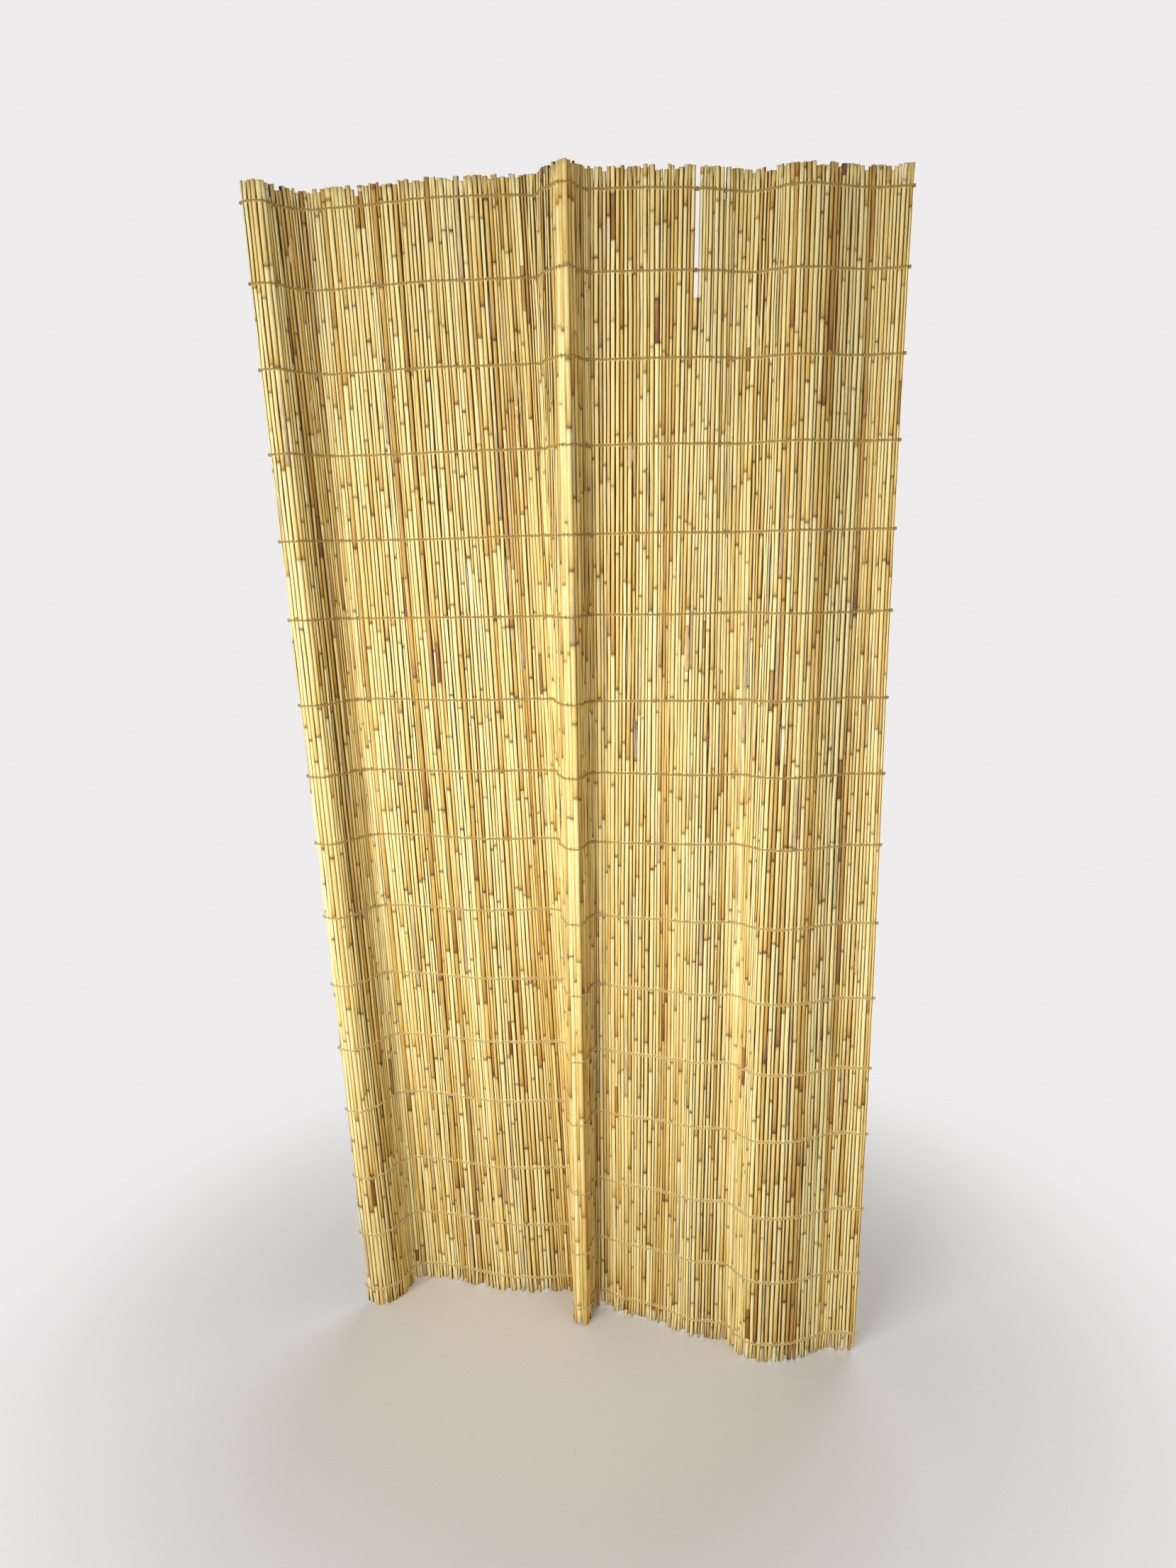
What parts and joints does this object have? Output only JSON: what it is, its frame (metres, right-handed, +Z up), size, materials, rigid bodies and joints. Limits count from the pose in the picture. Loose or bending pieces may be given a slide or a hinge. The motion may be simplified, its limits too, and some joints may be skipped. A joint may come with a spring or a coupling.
{
  "type": "reed roll-up blind",
  "caption": "Reed roll-up blind: slender upright reeds tied side by side by rows of twine, a flexible screen that hangs at a window or stands in its own loose folds.",
  "frame": {"origin": "on the floor, under the middle of the box around the folds", "axes": "+X runs along the blind to the right as seen from its front, +Y goes to its back, +Z goes up the reeds"},
  "size_m": [0.947, 0.1929, 1.803],
  "materials": {
    "reed": "dry straw-coloured reed, satin, with darker joints and stained lengths",
    "twine": "thin two-strand plant-fibre twine, dull khaki"
  },
  "bodies": {
    "root": {"reed_mat": "reed", "twine_row_01": "twine", "twine_row_02": "twine", "twine_row_03": "twine", "twine_row_04": "twine", "twine_row_05": "twine", "twine_row_06": "twine", "twine_row_07": "twine", "twine_row_08": "twine", "twine_row_09": "twine", "twine_row_10": "twine", "twine_row_11": "twine", "twine_row_12": "twine", "twine_row_13": "twine", "twine_row_14": "twine", "twine_row_15": "twine", "twine_row_16": "twine"}
  },
  "joints": []
}
